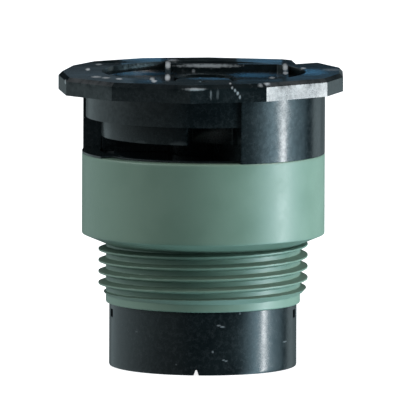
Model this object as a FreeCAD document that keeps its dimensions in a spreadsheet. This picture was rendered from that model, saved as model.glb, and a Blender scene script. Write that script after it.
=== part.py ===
"""Fixed-spray nozzle of a pop-up sprinkler: one-sided spray window, 11/16-27 male thread.

The axis is +Z and the origin is the centre of the skirt's bottom rim.  Angles are polar, from
+X towards +Y, and the spray window opens towards -Y.  Lengths are millimetres.
"""
import FreeCAD, Part
import os
import Sketcher

SIZES = {
    "zero": 0.0,
    "press_gap": 0.05,
    # inlet skirt and the sleeve that carries the collar
    "skirt_radius": 7.82,
    "skirt_bore": 6.95,
    "skirt_chamfer": 0.15,
    "skirt_top": 5.3,
    "pocket_top": 4.9,
    "sleeve_radius": 6.95,
    "sleeve_top": 16.35,
    "inlet_bore": 5.3,
    "ledge_level": 13.0,
    "stack_bore": 6.15,
    "snap_window_width": 4.5,
    "snap_tongue_width": 3.0,
    "snap_window_low": 4.2,
    "nick_turn": -94.0,
    "nick_width": 0.3,
    "nick_high": 0.55,
    # coloured collar and its thread
    "collar_bore": 7.0,
    "collar_radius": 10.12,
    "collar_top": 17.85,
    "collar_corner": 0.12,
    "thread_root": 8.1,
    "thread_crest": 8.73,
    "thread_pitch": 0.94,
    "thread_turns": 5.0,
    "thread_first": 5.72,
    "thread_flank": 0.29,
    "thread_land": 0.07,
    "neck_level": 10.25,
    "shoulder_level": 11.1,
    "lead_low": 6.0,
    "lead_high": 6.75,
    # spray window
    "window_start": -187.0,
    "window_span": 115.0,
    "base_ring": 0.15,
    "wall_bore": 8.6,
    "plate_low": 16.4,
    "plate_high": 17.8,
    "plate_radius": 8.9,
    "slot_inner": 7.5,
    "slot_outer": 8.2,
    "channel_inner": 3.2,
    "channel_high": 17.1,
    "insert_radius": 8.55,
    "insert_high": 21.0,
    "insert_lip": 19.25,
    "insert_hub": 3.0,
    "deep_start": -99.0,
    "deep_span": 27.0,
    "deep_radius": 6.0,
    "deep_centre_x": -2.2,
    "deep_centre_y": -12.05,
    "cap_step_radius": 9.8,
    "cap_step_low": 20.85,
    # flange and the recess in its top
    "flange_low": 23.1,
    "flange_high": 24.6,
    "flange_corner": 12.0,
    "flange_turn": -64.5,
    "recess_radius": 8.5,
    "recess_floor": 23.95,
    "rib_width": 0.45,
    "rib_left": -3.0,
    "rib_right": 6.8,
    "bar_start": 5.9,
    "bar_width": 0.6,
    "hub_radius": 2.5,
    "hub_high": 24.15,
    "well_radius": 1.75,
    "tab_radius": 2.3,
    "tab_centre": 7.3,
    "dimple_radius": 0.45,
    "dimple_depth": 0.4,
    "notch_turn": 66.0,
    "notch_reach": 3.2,
    "notch_tip_x": 7.7,
    "notch_tip_y": 6.2,
    # radius screw, its seal and its seat
    "head_radius": 1.6,
    "head_low": 22.75,
    "head_high": 23.65,
    "driver_width": 0.5,
    "driver_depth": 0.45,
    "groove_radius": 1.0,
    "groove_low": 22.05,
    "groove_high": 22.7,
    "shank_radius": 1.05,
    "screw_crest": 1.25,
    "screw_pitch": 0.5,
    "screw_turns": 8.0,
    "screw_flank": 0.2,
    "screw_land": 0.04,
    "screw_first": 17.6,
    "cone_high": 17.3,
    "tip_level": 16.9,
    "tip_radius": 0.7,
    "tapped_bore": 1.32,
    "tapped_top": 20.3,
    "seal_radius": 1.34,
    "seal_section": 0.3,
    "seal_level": 22.38,
    "seat_low": 14.7,
    "seat_high": 15.5,
    "seat_hole": 1.5,
    "seat_bevel": 0.3,
    "stack_radius": 6.1,
    "disc_high": 14.5,
    "disc_radius": 5.6,
    "disc_hole": 1.1,
    "retainer_high": 13.6,
    "retainer_bore": 5.0,
    "retainer_hub": 2.2,
    "arm_width": 0.9,
    # inlet screen
    "screen_radius": 6.85,
    "screen_low": 0.35,
    "screen_high": 4.8,
    "screen_bore": 6.1,
    "screen_lip": 5.6,
    "spoke_width": 0.7,
    "pad_radius": 6.92,
    "pad_width": 3.0,
    "pad_low": 4.3,
    "mesh_low": 1.1,
    "mesh_high": 4.5,
    "mesh_foot": 6.0,
    "mesh_neck": 1.0,
    "mesh_wall": 0.18,
    "cap_disc_radius": 1.3,
    "cap_disc_high": 4.9,
}
TURN = FreeCAD.Vector(0, 0, 1)


# ---------------------------------------------------------------- helpers

def make_sheet(doc):
    """Write every driving size into its own aliased cell."""
    sheet = doc.addObject("Spreadsheet::Sheet", "Sizes")
    for row, (alias, size) in enumerate(SIZES.items(), start=1):
        sheet.set(f"A{row}", alias)
        sheet.set(f"B{row}", str(size))
        sheet.setAlias(f"B{row}", alias)
    doc.recompute()


def number(expression):
    """Value of a sum of aliases, such as 'skirt_radius - skirt_chamfer'."""
    total = 0.0
    sign = 1.0
    for word in expression.split():
        if word in ("+", "-"):
            sign = 1.0 if word == "+" else -1.0
        else:
            total += sign * SIZES[word]
    return total


def cells(expression):
    """The same sum written with the sheet's cells."""
    return " ".join(word if word in ("+", "-") else f"Sizes.{word}" for word in expression.split())


def height(low, high):
    """The sum high minus low, where either may be a sum itself."""
    swapped = low.replace(" - ", " * ").replace(" + ", " - ").replace(" * ", " + ")
    return f"{high} - {swapped}"


def bind(obj, target, expression):
    obj.setExpression(target, cells(expression))


def origin_plane(body, role):
    return next(item for item in body.Origin.OriginFeatures if item.Role == role)


def upright_sketch(body, name, corners, plane="XZ_Plane"):
    """Closed outline in an upright plane whose corners are (radius, level) sums of aliases."""
    sketch = body.newObject("Sketcher::SketchObject", name)
    sketch.AttachmentSupport = [(origin_plane(body, plane), "")]
    sketch.MapMode = "FlatFace"
    points = [FreeCAD.Vector(number(radius), number(level), 0) for radius, level in corners]
    count = len(points)
    for index in range(count):
        sketch.addGeometry(Part.LineSegment(points[index], points[(index + 1) % count]), False)
    for index in range(count):
        sketch.addConstraint(Sketcher.Constraint("Coincident", index, 2, (index + 1) % count, 1))
    for index, (radius, level) in enumerate(corners):
        pin_coordinate(sketch, "DistanceX", index, radius, points[index].x)
        pin_coordinate(sketch, "DistanceY", index, level, points[index].y)
    return sketch


def pin_coordinate(sketch, kind, index, expression, size):
    """Fix one coordinate of a corner, on its axis if it is zero."""
    if abs(size) < 1e-9:
        axis = -2 if kind == "DistanceX" else -1
        sketch.addConstraint(Sketcher.Constraint("PointOnObject", index, 1, axis))
        return
    constraint = sketch.addConstraint(Sketcher.Constraint(kind, -1, 1, index, 1, size))
    sketch.setExpression(f"Constraints[{constraint}]", cells(expression))


def turned(doc, name, corners):
    """PartDesign body made by turning an outline about Z."""
    body = doc.addObject("PartDesign::Body", name)
    sketch = upright_sketch(body, name + "_outline", corners)
    revolution = body.newObject("PartDesign::Revolution", name + "_turning")
    revolution.Profile = sketch
    revolution.ReferenceAxis = (sketch, ["V_Axis"])
    revolution.Angle = 360
    doc.recompute()
    return body


def add_thread(doc, body, name, root, crest, first, pitch, turns, flank, land):
    """Right-hand external thread on a turned body, swept along a helix from the +Y side."""
    corners = [
        (root, f"{first} - {flank}"),
        (crest, f"{first} - {land}"),
        (crest, f"{first} + {land}"),
        (root, f"{first} + {flank}"),
    ]
    sketch = upright_sketch(body, name + "_profile", corners, "YZ_Plane")
    helix = body.newObject("PartDesign::AdditiveHelix", name)
    helix.Profile = sketch
    helix.ReferenceAxis = (sketch, ["V_Axis"])
    helix.Mode = "pitch-turns-angle"
    bind(helix, "Pitch", pitch)
    bind(helix, "Turns", turns)
    doc.recompute()


def cylinder(doc, name, radius, low, high):
    obj = doc.addObject("Part::Cylinder", name)
    bind(obj, "Radius", radius)
    bind(obj, "Height", height(low, high))
    bind(obj, ".Placement.Base.z", low)
    return obj


def sector(doc, name, radius, low, high, start, span):
    """Pie slice of a cylinder, from the start angle over the span."""
    obj = cylinder(doc, name, radius, low, high)
    bind(obj, "Angle", span)
    obj.Placement = FreeCAD.Placement(
        FreeCAD.Vector(0, 0, number(low)), FreeCAD.Rotation(TURN, number(start)))
    return obj


def block(doc, name, size_x, size_y, corner, turn=0.0):
    """Box from numbers: x and y sizes, low corner and top level, turned about Z."""
    obj = doc.addObject("Part::Box", name)
    obj.Length = size_x
    obj.Width = size_y
    low, high = corner[2]
    bind(obj, "Height", height(low, high))
    rotation = FreeCAD.Rotation(TURN, turn)
    base = rotation.multVec(FreeCAD.Vector(corner[0], corner[1], number(low)))
    obj.Placement = FreeCAD.Placement(base, rotation)
    return obj


def cut(doc, name, base, tools):
    """Base minus every tool."""
    obj = doc.addObject("Part::Cut", name)
    obj.Base = base
    obj.Tool = tools[0] if len(tools) == 1 else fuse(doc, name + "_tools", tools)
    return obj


def fuse(doc, name, shapes):
    obj = doc.addObject("Part::MultiFuse", name)
    obj.Shapes = shapes
    return obj


def common(doc, name, shapes):
    obj = doc.addObject("Part::MultiCommon", name)
    obj.Shapes = shapes
    return obj


# ---------------------------------------------------------------- fixed pieces

def threaded_collar(doc):
    """Colour-coded collar with the male thread, a neck above it and a counterbore on top."""
    body = turned(doc, "collar_turned", [
        ("collar_bore", "skirt_top"),
        ("thread_root", "skirt_top"),
        ("thread_root", "neck_level"),
        ("collar_radius", "shoulder_level"),
        ("collar_radius", "collar_top - collar_corner"),
        ("collar_radius - collar_corner", "collar_top"),
        ("plate_radius + press_gap", "collar_top"),
        ("plate_radius + press_gap", "plate_low"),
        ("collar_bore", "plate_low"),
    ])
    add_thread(doc, body, "collar_thread", "thread_root - press_gap", "thread_crest", "thread_first",
               "thread_pitch", "thread_turns", "thread_flank", "thread_land")
    lead = upright_sketch(body, "lead_in", [
        ("thread_root", "skirt_top - thread_pitch"),
        ("thread_root", "lead_low"),
        ("thread_crest + press_gap", "lead_high"),
        ("thread_crest + thread_pitch", "lead_high"),
        ("thread_crest + thread_pitch", "skirt_top - thread_pitch"),
    ])
    groove = body.newObject("PartDesign::Groove", "lead_in_cut")
    groove.Profile = lead
    groove.ReferenceAxis = (lead, ["V_Axis"])
    groove.Angle = 360
    doc.recompute()
    return body


def inlet_body(doc):
    """Black inlet: the skirt below the collar and the sleeve inside it, with two snap tongues."""
    body = turned(doc, "inlet_turned", [
        ("skirt_bore", "zero"),
        ("skirt_radius - skirt_chamfer", "zero"),
        ("skirt_radius", "skirt_chamfer"),
        ("skirt_radius", "skirt_top"),
        ("sleeve_radius", "skirt_top"),
        ("sleeve_radius", "sleeve_top"),
        ("stack_bore", "sleeve_top"),
        ("stack_bore", "ledge_level"),
        ("inlet_bore", "ledge_level"),
        ("inlet_bore", "pocket_top"),
        ("skirt_bore", "pocket_top"),
    ])
    reach = 2 * SIZES["skirt_radius"] + 2
    width = SIZES["snap_window_width"]
    tongue = SIZES["snap_tongue_width"]
    levels = ("snap_window_low", "pocket_top")
    slits = cut(doc, "snap_slits",
                block(doc, "snap_windows", reach, width, (-reach / 2, -width / 2, levels)),
                [block(doc, "snap_tongues", reach, tongue, (-reach / 2, -tongue / 2, levels))])
    nick_width = SIZES["nick_width"]
    nick = block(doc, "gate_nick", 1, nick_width,
                 (SIZES["skirt_bore"], -nick_width / 2, ("zero", "nick_high")), SIZES["nick_turn"])
    return cut(doc, "inlet_cut", body, [slits, nick])


def orifice_plate(doc):
    """Floor of the spray window: a feed channel below and a curved jet slot above it."""
    plate = cylinder(doc, "plate_disc", "plate_radius", "plate_low", "plate_high")
    hole = cylinder(doc, "plate_hole", "seat_hole", "plate_low", "plate_high")
    window = ("window_start", "window_span")
    slot = cut(doc, "jet_slot", sector(doc, "slot_out", "slot_outer", "plate_low", "plate_high", *window),
               [cylinder(doc, "slot_in", "slot_inner", "plate_low", "plate_high")])
    channel = cut(doc, "feed_channel",
                  sector(doc, "channel_out", "slot_outer", "plate_low", "channel_high", *window),
                  [cylinder(doc, "channel_in", "channel_inner", "plate_low", "channel_high")])
    return cut(doc, "plate_cut", plate, [hole, slot, channel])


def spray_insert(doc):
    """Stepped deflector under the cap; its hub is tapped for the radius screw."""
    disc = cylinder(doc, "insert_disc", "insert_radius", "plate_high", "insert_high")
    hole = cylinder(doc, "insert_bore", "tapped_bore", "plate_high", "insert_high")
    well = cylinder(doc, "insert_well", "well_radius", "tapped_top", "insert_high")
    gap = cut(doc, "spray_gap",
              sector(doc, "gap_out", "plate_radius", "plate_high", "insert_lip",
                     "window_start", "window_span"),
              [cylinder(doc, "gap_in", "insert_hub", "plate_high", "insert_lip")])
    scoop = cylinder(doc, "deep_scoop", "deep_radius", "plate_high", "cap_step_low")
    scoop.Placement.Base.x = SIZES["deep_centre_x"]
    scoop.Placement.Base.y = SIZES["deep_centre_y"]
    deep = common(doc, "deep_step", [
        sector(doc, "deep_out", "plate_radius", "plate_high", "cap_step_low",
               "deep_start", "deep_span"),
        scoop,
    ])
    return cut(doc, "insert_cut", disc, [hole, well, gap, deep])


def recess_features(doc):
    """What stands in the recess on top of the cap: two ribs, a cross bar, a hub and a front tab."""
    rib_width = SIZES["rib_width"]
    levels = ("recess_floor", "flange_high")
    length = 2 * SIZES["recess_radius"]
    pieces = []
    for name, centre in (("rib_a", SIZES["rib_left"]), ("rib_b", SIZES["rib_right"])):
        pieces.append(block(doc, name, rib_width, length, (centre - rib_width / 2, -length / 2, levels)))
    span = SIZES["rib_right"] - SIZES["rib_left"]
    pieces.append(block(doc, "cross_bar", span, SIZES["bar_width"],
                        (SIZES["rib_left"], SIZES["bar_start"], levels)))
    tab = cylinder(doc, "front_tab", "tab_radius", *levels)
    tab.Placement.Base.y = -SIZES["tab_centre"]
    pieces.append(tab)
    inside = common(doc, "inside_recess", [
        fuse(doc, "recess_walls", pieces),
        cylinder(doc, "recess_edge", "recess_radius", *levels),
    ])
    return [inside, cylinder(doc, "screw_hub", "hub_radius", "recess_floor", "hub_high")]


def index_notch(doc):
    """Three-sided cutter for the slanting notch in the flange's edge, tip towards the axis."""
    notch = doc.addObject("Part::Prism", "index_notch")
    notch.Polygon = 3
    bind(notch, "Circumradius", "notch_reach")
    bind(notch, "Height", "flange_high - flange_low")
    turn = FreeCAD.Rotation(TURN, SIZES["notch_turn"])
    tip = FreeCAD.Vector(SIZES["notch_tip_x"], SIZES["notch_tip_y"], SIZES["flange_low"])
    centre = tip + turn.multVec(FreeCAD.Vector(SIZES["notch_reach"], 0, 0))
    notch.Placement = FreeCAD.Placement(centre, FreeCAD.Rotation(TURN, SIZES["notch_turn"] + 180))
    return notch


def deflector_cap(doc):
    """Top of the nozzle: twelve-sided flange, shallow recess, stepped collar and a wall open on one side."""
    flange = doc.addObject("Part::Prism", "flange_prism")
    flange.Polygon = 12
    bind(flange, "Circumradius", "flange_corner")
    bind(flange, "Height", "flange_high - flange_low")
    flange.Placement = FreeCAD.Placement(
        FreeCAD.Vector(0, 0, SIZES["flange_low"]), FreeCAD.Rotation(TURN, SIZES["flange_turn"]))
    recess = cylinder(doc, "recess", "recess_radius", "recess_floor", "flange_high")
    notch = index_notch(doc)
    dimple = cylinder(doc, "dimple", "dimple_radius", "flange_high - dimple_depth", "flange_high")
    dimple.Placement.Base.y = -SIZES["recess_radius"]
    step = cylinder(doc, "step_ring", "cap_step_radius", "cap_step_low", "flange_low")
    wall = cylinder(doc, "wall", "collar_radius", "collar_top", "flange_low")
    opening = sector(doc, "window_opening", "flange_corner", "collar_top + base_ring", "flange_low",
                     "window_start", "window_span")
    part_round = cut(doc, "wall_arc", wall, [opening])
    shell = fuse(doc, "cap_outside", [flange, step, part_round])
    inside = cylinder(doc, "cap_inside", "wall_bore", "collar_top", "insert_high")
    hollow = cut(doc, "cap_hollow", shell, [inside, recess, notch])
    filled = fuse(doc, "cap_filled", [hollow] + recess_features(doc))
    well = cylinder(doc, "screw_well", "well_radius", "insert_high", "flange_high")
    return cut(doc, "cap_cut", filled, [well, dimple])


def throttle_seat(doc):
    """Ring that the screw's tip throttles against."""
    return turned(doc, "seat_turned", [
        ("seat_hole", "seat_low"),
        ("stack_bore", "seat_low"),
        ("stack_bore", "seat_high"),
        ("well_radius", "seat_high"),
        ("seat_hole", "seat_high - seat_bevel"),
    ])


def pressure_disc(doc):
    """Soft disc that evens out the inlet pressure."""
    return turned(doc, "disc_turned", [
        ("disc_hole", "retainer_high"),
        ("disc_radius", "retainer_high"),
        ("disc_radius", "disc_high"),
        ("disc_hole", "disc_high"),
    ])


def disc_retainer(doc):
    """Spider that holds the pressure disc up: a rim, a hub and three arms."""
    rim = cut(doc, "retainer_rim", cylinder(doc, "rim_out", "stack_radius", "ledge_level", "retainer_high"),
              [cylinder(doc, "rim_in", "retainer_bore", "ledge_level", "retainer_high")])
    hub = cylinder(doc, "retainer_hub_disc", "retainer_hub", "ledge_level", "retainer_high")
    width = SIZES["arm_width"]
    arms = [
        block(doc, f"retainer_arm_{index}", SIZES["retainer_bore"] + width, width,
              (0, -width / 2, ("ledge_level", "retainer_high")), 120 * index)
        for index in range(3)
    ]
    solid = fuse(doc, "retainer_solid", [rim, hub] + arms)
    hole = cylinder(doc, "retainer_hole", "disc_hole", "ledge_level", "retainer_high")
    return cut(doc, "retainer_cut", solid, [hole])


# ---------------------------------------------------------------- radius screw

def radius_screw(doc):
    """Slotted screw: head, seal groove, threaded shank and conical throttle tip."""
    body = turned(doc, "screw_turned", [
        ("zero", "tip_level"),
        ("tip_radius", "tip_level"),
        ("shank_radius", "cone_high"),
        ("shank_radius", "groove_low - seal_section"),
        ("screw_crest", "groove_low - seal_section"),
        ("screw_crest", "groove_low"),
        ("groove_radius", "groove_low"),
        ("groove_radius", "groove_high"),
        ("head_radius", "head_low"),
        ("head_radius", "head_high - press_gap"),
        ("head_radius - press_gap", "head_high"),
        ("zero", "head_high"),
    ])
    add_thread(doc, body, "screw_thread", "shank_radius - press_gap", "screw_crest", "screw_first",
               "screw_pitch", "screw_turns", "screw_flank", "screw_land")
    width = SIZES["driver_width"]
    length = 2 * SIZES["head_radius"] + 1
    slot = block(doc, "driver_slot", length, width,
                 (-length / 2, -width / 2, ("head_high - driver_depth", "head_high")))
    return cut(doc, "screw_cut", body, [slot])


def screw_seal(doc):
    """Small ring seal in the groove under the screw's head."""
    ring = doc.addObject("Part::Torus", "seal_torus")
    bind(ring, "Radius1", "seal_radius")
    bind(ring, "Radius2", "seal_section")
    bind(ring, ".Placement.Base.z", "seal_level")
    return ring


# ---------------------------------------------------------------- inlet screen

def screen_frame(doc):
    """Snap-in ring with a lip, a cross of spokes and two snap pads."""
    ring = turned(doc, "frame_turned", [
        ("screen_lip", "screen_low"),
        ("screen_radius", "screen_low"),
        ("screen_radius", "screen_high"),
        ("screen_bore", "screen_high"),
        ("screen_bore", "mesh_low"),
        ("screen_lip", "mesh_low"),
    ])
    width = SIZES["spoke_width"]
    length = 2 * SIZES["screen_bore"]
    spokes = [
        block(doc, f"spoke_{index}", length, width,
              (-length / 2, -width / 2, ("screen_low", "mesh_low")), 45 + 90 * index)
        for index in range(2)
    ]
    reach = 2 * SIZES["pad_radius"]
    pad_width = SIZES["pad_width"]
    pad_levels = ("pad_low", "screen_high")
    pads = cut(doc, "snap_pads",
               common(doc, "pad_disc", [
                   block(doc, "pad_bar", reach, pad_width, (-reach / 2, -pad_width / 2, pad_levels)),
                   cylinder(doc, "pad_edge", "pad_radius", *pad_levels),
               ]),
               [cylinder(doc, "pad_bore", "screen_bore", *pad_levels)])
    return fuse(doc, "frame_solid", [ring, pads] + spokes)


def screen_mesh(doc):
    """Conical strainer that points up into the sleeve."""
    return turned(doc, "mesh_turned", [
        ("mesh_foot", "mesh_low"),
        ("mesh_foot", "mesh_low + mesh_wall"),
        ("mesh_neck", "mesh_high + mesh_wall"),
        ("mesh_neck", "mesh_high"),
    ])


def screen_cap(doc):
    """Button that closes the strainer's point."""
    return turned(doc, "button_turned", [
        ("zero", "mesh_high - mesh_wall"),
        ("mesh_neck - press_gap", "mesh_high - mesh_wall"),
        ("mesh_neck - press_gap", "mesh_high + mesh_wall"),
        ("cap_disc_radius", "mesh_high + mesh_wall"),
        ("cap_disc_radius", "cap_disc_high"),
        ("zero", "cap_disc_high"),
    ])


PIECES = {
    "threaded_collar": threaded_collar,
    "inlet_body": inlet_body,
    "orifice_plate": orifice_plate,
    "spray_insert": spray_insert,
    "deflector_cap": deflector_cap,
    "throttle_seat": throttle_seat,
    "pressure_disc": pressure_disc,
    "disc_retainer": disc_retainer,
    "radius_screw": radius_screw,
    "screw_seal": screw_seal,
    "screen_frame": screen_frame,
    "screen_mesh": screen_mesh,
    "screen_cap": screen_cap,
}


def check(doc, parts):
    """Stop on any failed object or unsound shape."""
    for obj in doc.Objects:
        if "Invalid" in obj.State or "Error" in obj.State:
            raise RuntimeError(f"{obj.Name} failed: {obj.State}")
    for label, obj in parts.items():
        if obj.Shape.isNull() or not obj.Shape.isValid():
            raise RuntimeError(f"{label} has no sound shape")


def main():
    doc = FreeCAD.newDocument("spray_nozzle")
    make_sheet(doc)
    parts = {}
    for label, build in PIECES.items():
        parts[label] = build(doc)
        parts[label].Label = label
        doc.recompute()
    check(doc, parts)
    os.makedirs("parts", exist_ok=True)
    for label, obj in parts.items():
        obj.Shape.exportStep(f"parts/{label}.step")
        box = obj.Shape.BoundBox
        print(f"{label}: {len(obj.Shape.Solids)} solid, {obj.Shape.Volume:.1f} mm3, "
              f"z {box.ZMin:.2f} to {box.ZMax:.2f}, {box.XLength:.2f} x {box.YLength:.2f}")


main()
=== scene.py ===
"""Looks of a pop-up sprinkler's spray nozzle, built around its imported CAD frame.

Mesh sizes are in millimetres and become metres when a mesh is made.  The axis is +Z, the camera
looks along +Y, and angles are polar, from +X towards +Y.
"""
import math

import bmesh
import bpy
from mathutils import Matrix, Quaternion, Vector


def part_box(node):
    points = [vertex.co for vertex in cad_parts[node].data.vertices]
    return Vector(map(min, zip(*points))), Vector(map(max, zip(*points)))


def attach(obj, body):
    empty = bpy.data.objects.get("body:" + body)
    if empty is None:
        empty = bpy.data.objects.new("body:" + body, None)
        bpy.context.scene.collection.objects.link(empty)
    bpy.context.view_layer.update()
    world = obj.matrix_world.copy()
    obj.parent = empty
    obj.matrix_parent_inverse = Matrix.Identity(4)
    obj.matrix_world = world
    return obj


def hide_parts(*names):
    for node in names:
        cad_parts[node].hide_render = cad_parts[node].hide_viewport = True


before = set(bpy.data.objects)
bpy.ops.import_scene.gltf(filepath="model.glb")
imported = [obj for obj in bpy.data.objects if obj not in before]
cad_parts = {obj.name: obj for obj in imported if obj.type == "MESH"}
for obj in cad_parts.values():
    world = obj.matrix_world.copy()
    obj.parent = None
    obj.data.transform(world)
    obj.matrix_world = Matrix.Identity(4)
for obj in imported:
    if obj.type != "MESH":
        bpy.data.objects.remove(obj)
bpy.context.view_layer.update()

MM = 0.001
SEGMENTS = 192
MIDDLE_LEVEL = 14.0
BODY = "nozzle_body"


def node_radius(node):
    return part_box(node)[1].x / MM


def node_low(node):
    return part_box(node)[0].z / MM


def node_high(node):
    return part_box(node)[1].z / MM


# ---------------------------------------------------------------- sizes

COLLAR_RADIUS = node_radius("threaded_collar")
COLLAR_LOW = node_low("threaded_collar")
COLLAR_TOP = node_high("threaded_collar")
PLATE_RADIUS = node_radius("orifice_plate")
PLATE_LOW = node_low("orifice_plate")
PLATE_TOP = node_high("orifice_plate")
SKIRT_RADIUS = node_radius("inlet_body")
SLEEVE_TOP = node_high("inlet_body")
INSERT_RADIUS = node_radius("spray_insert")
INSERT_TOP = node_high("spray_insert")
FLANGE_TOP = node_high("deflector_cap")
HEAD_RADIUS = node_radius("radius_screw")
HEAD_TOP = node_high("radius_screw")
TIP_LEVEL = node_low("radius_screw")
MESH_FOOT_RADIUS = node_radius("screen_mesh")
MESH_LOW = node_low("screen_mesh")
MESH_TOP = node_high("screen_mesh")

# Window: where it opens, the foot ring under it and where that ring is narrower, the deep part
# with its scooped end, and the level of the deflector's lip.
WINDOW_START = -187.0
WINDOW_SPAN = 115.0
BASE_RING = 0.15
LEDGE_START = -147.0
LEDGE_SPAN = 75.0
LEDGE_RADIUS = 9.1
DEEP_START = -99.0
DEEP_SPAN = 27.0
SCOOP_RADIUS = 6.0
SCOOP_CENTRE = (-2.2, -12.05)
LIP_LEVEL = 19.25

# Flange with its sloped edge, step under it, and recess with ribs, cross bar, tab, hub and notch.
FLANGE_LOW = 23.1
FLANGE_REACH = 12.0
FLANGE_CHAMFER = 0.32
FLANGE_CORNERS = (
    (-12.1, -0.3), (-11.4, -5.8), (-7.6, -9.8), (-1.1, -11.9), (5.2, -9.95), (10.25, -5.65),
    (11.6, -1.4), (11.6, 3.6), (9.8, 7.6), (6.75, 10.5), (0.4, 11.8), (-5.2, 11.1), (-9.4, 8.2),
    (-11.2, 4.6),
)
STEP_RADIUS = 9.8
STEP_LOW = 20.85
WALL_BORE = 8.6
RECESS_RADIUS = 8.5
RECESS_FLOOR = 23.95
RIB_WIDTH = 0.45
RIB_LEFT = -3.0
RIB_RIGHT = 6.8
BAR_START = 5.9
BAR_WIDTH = 0.6
TAB_RADIUS = 2.3
TAB_CENTRE = 7.3
HUB_RADIUS = 2.5
HUB_TOP = 24.15
WELL_RADIUS = 1.75
DIMPLE_RADIUS = 0.45
NOTCH_TURN = 66.0
NOTCH_REACH = 3.2
NOTCH_TIP = (7.7, 6.2)

# Collar's thread, neck and shoulder.
THREAD_ROOT = 8.1
THREAD_CREST = 8.73
THREAD_PITCH = 0.94
THREAD_FIRST = 5.72
THREAD_HALF_FOOT = 0.29
THREAD_SLOPE = 0.22
THREAD_FADE_LOW = 5.95
THREAD_FADE = 0.7
NECK_LEVEL = 10.25
SHOULDER_LEVEL = 11.1

# Skirt: bores, snap slits either side of a tongue, and gate nick.
SLEEVE_RADIUS = 6.95
SEAT_BORE = 6.15
SEAT_LEVEL = 13.0
PASSAGE_RADIUS = 5.3
SCREEN_SEAT = 4.9
TONGUE_HALF = 1.5
SLIT_EDGE = 2.25
SLIT_LOW = 4.2
SLIT_HIGH = 4.88
NICK_HALF = 0.26
NICK_HIGH = 0.6
NICK_ANGLE = -94.0

# Collar's bore, floor of the window and deflector.
COLLAR_BORE = 7.0
PLATE_BORE = 1.5
SLOT_INNER = 7.5
SLOT_OUTER = 8.2
CHANNEL_INNER = 3.2
CHANNEL_ROOF = 17.1
INSERT_BORE = 1.32
INSERT_HUB = 3.0
INSERT_WELL_LOW = 20.3

# Screw.
SCREW_CORE = 1.05
SCREW_CREST = 1.25
SCREW_RIDGE = 0.2
SCREW_PITCH = 0.5
SCREW_GROOVE = 1.0


# ---------------------------------------------------------------- mesh helpers

def polar(radius, angle):
    return (radius * math.cos(math.radians(angle)), radius * math.sin(math.radians(angle)))


def link(name, mesh):
    obj = bpy.data.objects.new(name, mesh)
    bpy.context.scene.collection.objects.link(obj)
    return obj


def grid_mesh(name, rows):
    """Quads between rows of points; every row is a closed loop, and the rows close too."""
    mesh = bpy.data.meshes.new(name)
    count = len(rows[0])
    points = [tuple(value * MM for value in point) for row in rows for point in row]
    faces = []
    for row in range(len(rows)):
        above = (row + 1) % len(rows)
        for column in range(count):
            right = (column + 1) % count
            faces.append((row * count + column, row * count + right,
                          above * count + right, above * count + column))
    mesh.from_pydata(points, [], faces)
    mesh.validate()
    return mesh


def lathe(name, outline, radius_at=None, segments=SEGMENTS):
    """Ring turned from (radius, level) corners; radius_at may shape it by angle and level."""
    rows = []
    for radius, level in outline:
        row = []
        for column in range(segments):
            angle = 360.0 * column / segments
            here = radius_at(radius, level, angle) if radius_at else radius
            row.append((*polar(here, angle), level))
        rows.append(row)
    mesh = grid_mesh(name, rows)
    fix_normals(mesh)
    return link(name, mesh)


def fix_normals(mesh):
    work = bmesh.new()
    work.from_mesh(mesh)
    bmesh.ops.recalc_face_normals(work, faces=work.faces)
    work.to_mesh(mesh)
    work.free()


def prism(name, outline, low, high):
    """Upright prism on a plan outline of (x, y) corners."""
    work = bmesh.new()
    floor = [work.verts.new((x * MM, y * MM, low * MM)) for x, y in outline]
    roof = [work.verts.new((x * MM, y * MM, high * MM)) for x, y in outline]
    work.faces.new(floor)
    work.faces.new(roof)
    count = len(outline)
    for index in range(count):
        after = (index + 1) % count
        work.faces.new((floor[index], floor[after], roof[after], roof[index]))
    bmesh.ops.recalc_face_normals(work, faces=work.faces)
    mesh = bpy.data.meshes.new(name)
    work.to_mesh(mesh)
    work.free()
    return link(name, mesh)


def circle(radius, centre=(0.0, 0.0), segments=SEGMENTS, turn=0.0):
    points = [polar(radius, turn + 360.0 * index / segments) for index in range(segments)]
    return [(x + centre[0], y + centre[1]) for x, y in points]


def slice_outline(radius, start, span):
    """Pie slice about the axis."""
    steps = max(8, round(SEGMENTS * span / 360.0))
    arc = [polar(radius, start + span * index / steps) for index in range(steps + 1)]
    return [(0.0, 0.0)] + arc


def bar_outline(low_x, high_x, low_y, high_y):
    return [(low_x, low_y), (high_x, low_y), (high_x, high_y), (low_x, high_y)]


def apply_modifiers(obj):
    """Put the modifiers' result in place of the object's mesh."""
    bpy.context.view_layer.update()
    graph = bpy.context.evaluated_depsgraph_get()
    made = bpy.data.meshes.new_from_object(obj.evaluated_get(graph), depsgraph=graph)
    obj.modifiers.clear()
    old, obj.data = obj.data, made
    bpy.data.meshes.remove(old)


def carve(obj, tool, operation="DIFFERENCE"):
    """Exact boolean with a tool that is used up."""
    modifier = obj.modifiers.new("carve", "BOOLEAN")
    modifier.operation = operation
    modifier.solver = "EXACT"
    modifier.object = tool
    apply_modifiers(obj)
    bpy.data.objects.remove(tool)


def clean(obj, distance=0.002):
    """Merge near points and drop slivers."""
    work = bmesh.new()
    work.from_mesh(obj.data)
    bmesh.ops.remove_doubles(work, verts=work.verts, dist=distance * MM)
    bmesh.ops.dissolve_degenerate(work, edges=work.edges, dist=distance * MM)
    bmesh.ops.recalc_face_normals(work, faces=work.faces)
    work.to_mesh(obj.data)
    work.free()


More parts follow.
